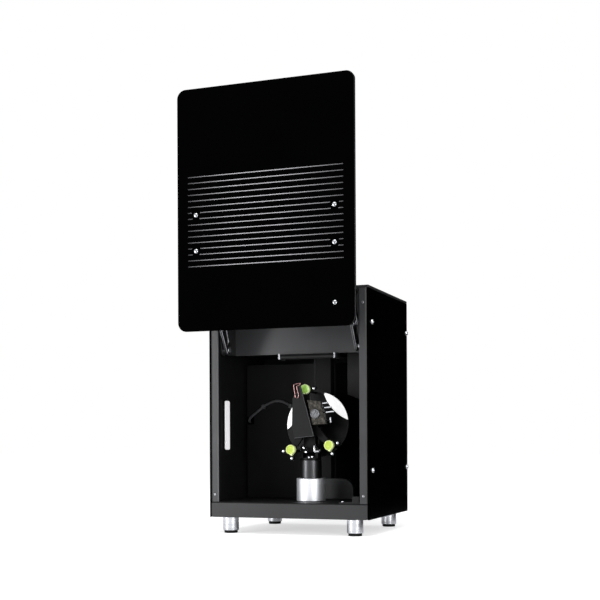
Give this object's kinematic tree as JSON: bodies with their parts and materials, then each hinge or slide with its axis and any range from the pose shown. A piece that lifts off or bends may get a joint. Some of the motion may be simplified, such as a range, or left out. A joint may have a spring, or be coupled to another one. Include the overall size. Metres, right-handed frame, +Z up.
{
  "type": "laboratory scanner",
  "caption": "Bench-top laboratory scanner: metal cabinet on feet, with a glossy door that lifts clear on parallel arms, and a turntable carrying a tilting model holder.",
  "frame": {"origin": "under the middle of the whole machine with its door open, on the surface that the feet stand on", "axes": "+Z up; +X to the right and -Y out of the open front, for someone who stands in front of the machine"},
  "size_m": [0.446, 0.5244, 1.078],
  "materials": {
    "satin_grey": "satin",
    "gloss_black_sheet": "gloss",
    "dark_sheet": "matte",
    "gloss_black_door": "gloss",
    "black_anodised": "satin",
    "dark_anodised": "satin",
    "bright_aluminium": "satin",
    "bright_steel": "satin",
    "dark_steel": "satin",
    "black_plastic": "matte",
    "grey_plastic": "matte",
    "white_plastic": "gloss",
    "lime_plastic": "satin",
    "green_board": "matte",
    "grey_rubber": "matte",
    "bronze_grey": "satin",
    "copper": "polished"
  },
  "bodies": {
    "cabinet": {"base_pan": "satin_grey", "bottom_cover": "dark_sheet", "chamber_floor": "dark_sheet", "top_panel": "satin_grey", "back_cover": "satin_grey", "chamber_back": "dark_sheet", "junction_box": "grey_plastic", "cable_column": "dark_anodised", "sensor_cable": "grey_rubber", "camera_housing": "dark_anodised", "optics_shelf": "dark_sheet", "upper_fascia": "satin_grey", "bar_lamp": "dark_anodised", "light_panel_housing": "black_plastic", "light_panel_diffuser": "white_plastic", "catch_plate": "bright_steel", "projector": "black_plastic", "control_board": "green_board", "power_supply": "bright_aluminium", "power_inlet": "black_plastic", "left_side_panel": "gloss_black_sheet", "right_side_panel": "gloss_black_sheet", "left_front_post": "satin_grey", "right_front_post": "satin_grey", "left_cheek_plate": "satin_grey", "right_cheek_plate": "satin_grey", "front_left_foot": "bright_aluminium", "back_left_foot": "bright_aluminium", "front_right_foot": "bright_aluminium", "back_right_foot": "bright_aluminium", "turntable_base": "bright_aluminium", "turntable_motor": "dark_steel"},
    "power_switch": {"power_switch": "black_plastic"},
    "lift_arms": {"left_lift_arm": "dark_steel", "right_lift_arm": "dark_steel"},
    "control_arms": {"left_control_arm": "dark_steel", "right_control_arm": "dark_steel"},
    "door": {"door_panel": "gloss_black_door", "door_backing": "black_anodised", "left_door_bracket": "dark_steel", "right_door_bracket": "dark_steel", "bracket_bolt_1": "bright_steel", "bracket_bolt_2": "bright_steel", "bracket_bolt_3": "bright_steel", "bracket_bolt_4": "bright_steel", "door_striker": "bright_steel"},
    "turntable": {"spindle": "dark_anodised", "tilt_fork": "black_anodised"},
    "holder": {"tilt_head": "black_anodised", "holder_spider": "black_anodised", "back_disc": "gloss_black_door", "white_segment_right": "white_plastic", "white_segment_left": "white_plastic", "tapered_plate": "black_anodised", "hub_block": "bronze_grey", "hairpin_wire": "copper"},
    "knob_1": {"clamp_knob_1": "lime_plastic"},
    "knob_2": {"clamp_knob_2": "lime_plastic"},
    "knob_3": {"clamp_knob_3": "lime_plastic"}
  },
  "joints": [
    {"name": "door_lift", "type": "hinge", "parent": "cabinet", "child": "lift_arms", "pos_m": [0, -0.07761, 0.464], "axis": [1, 0, 0], "range_deg": [0, 148.3]},
    {"name": "door_level", "type": "hinge", "parent": "lift_arms", "child": "door", "pos_m": [0, -0.21008, 0.67601], "axis": [1, 0, 0], "range_deg": [-148.3, 0]},
    {"name": "control_arm_swing", "type": "hinge", "parent": "cabinet", "child": "control_arms", "pos_m": [0, -0.09359, 0.51975], "axis": [1, 0, 0], "range_deg": [0, 148.3]},
    {"name": "turntable_spin", "type": "hinge", "parent": "cabinet", "child": "turntable", "pos_m": [0.025, -0.00461, 0.157], "axis": [0, 0, 1], "continuous": true},
    {"name": "holder_tilt", "type": "hinge", "parent": "turntable", "child": "holder", "pos_m": [0.025, -0.00461, 0.21], "axis": [1, 0, 0], "range_deg": [-8, 20]},
    {"name": "knob_1_turn", "type": "hinge", "parent": "holder", "child": "knob_1", "pos_m": [0.01882, -0.02778, 0.36277], "axis": [0, 0.9976, -0.0698], "continuous": true},
    {"name": "knob_2_turn", "type": "hinge", "parent": "holder", "child": "knob_2", "pos_m": [-0.01648, -0.03845, 0.21021], "axis": [0, 0.9976, -0.0698], "continuous": true},
    {"name": "knob_3_turn", "type": "hinge", "parent": "holder", "child": "knob_3", "pos_m": [0.08516, -0.0377, 0.22086], "axis": [0, 0.9976, -0.0698], "continuous": true},
    {"name": "power_rocker", "type": "hinge", "parent": "cabinet", "child": "power_switch", "pos_m": [0.13, 0.25899, 0.123], "axis": [1, 0, 0], "range_deg": [0, 16]}
  ],
  "couplings": [
    {"joint": "door_level", "follows": "door_lift", "ratio": -1},
    {"joint": "control_arm_swing", "follows": "door_lift", "ratio": 1}
  ]
}
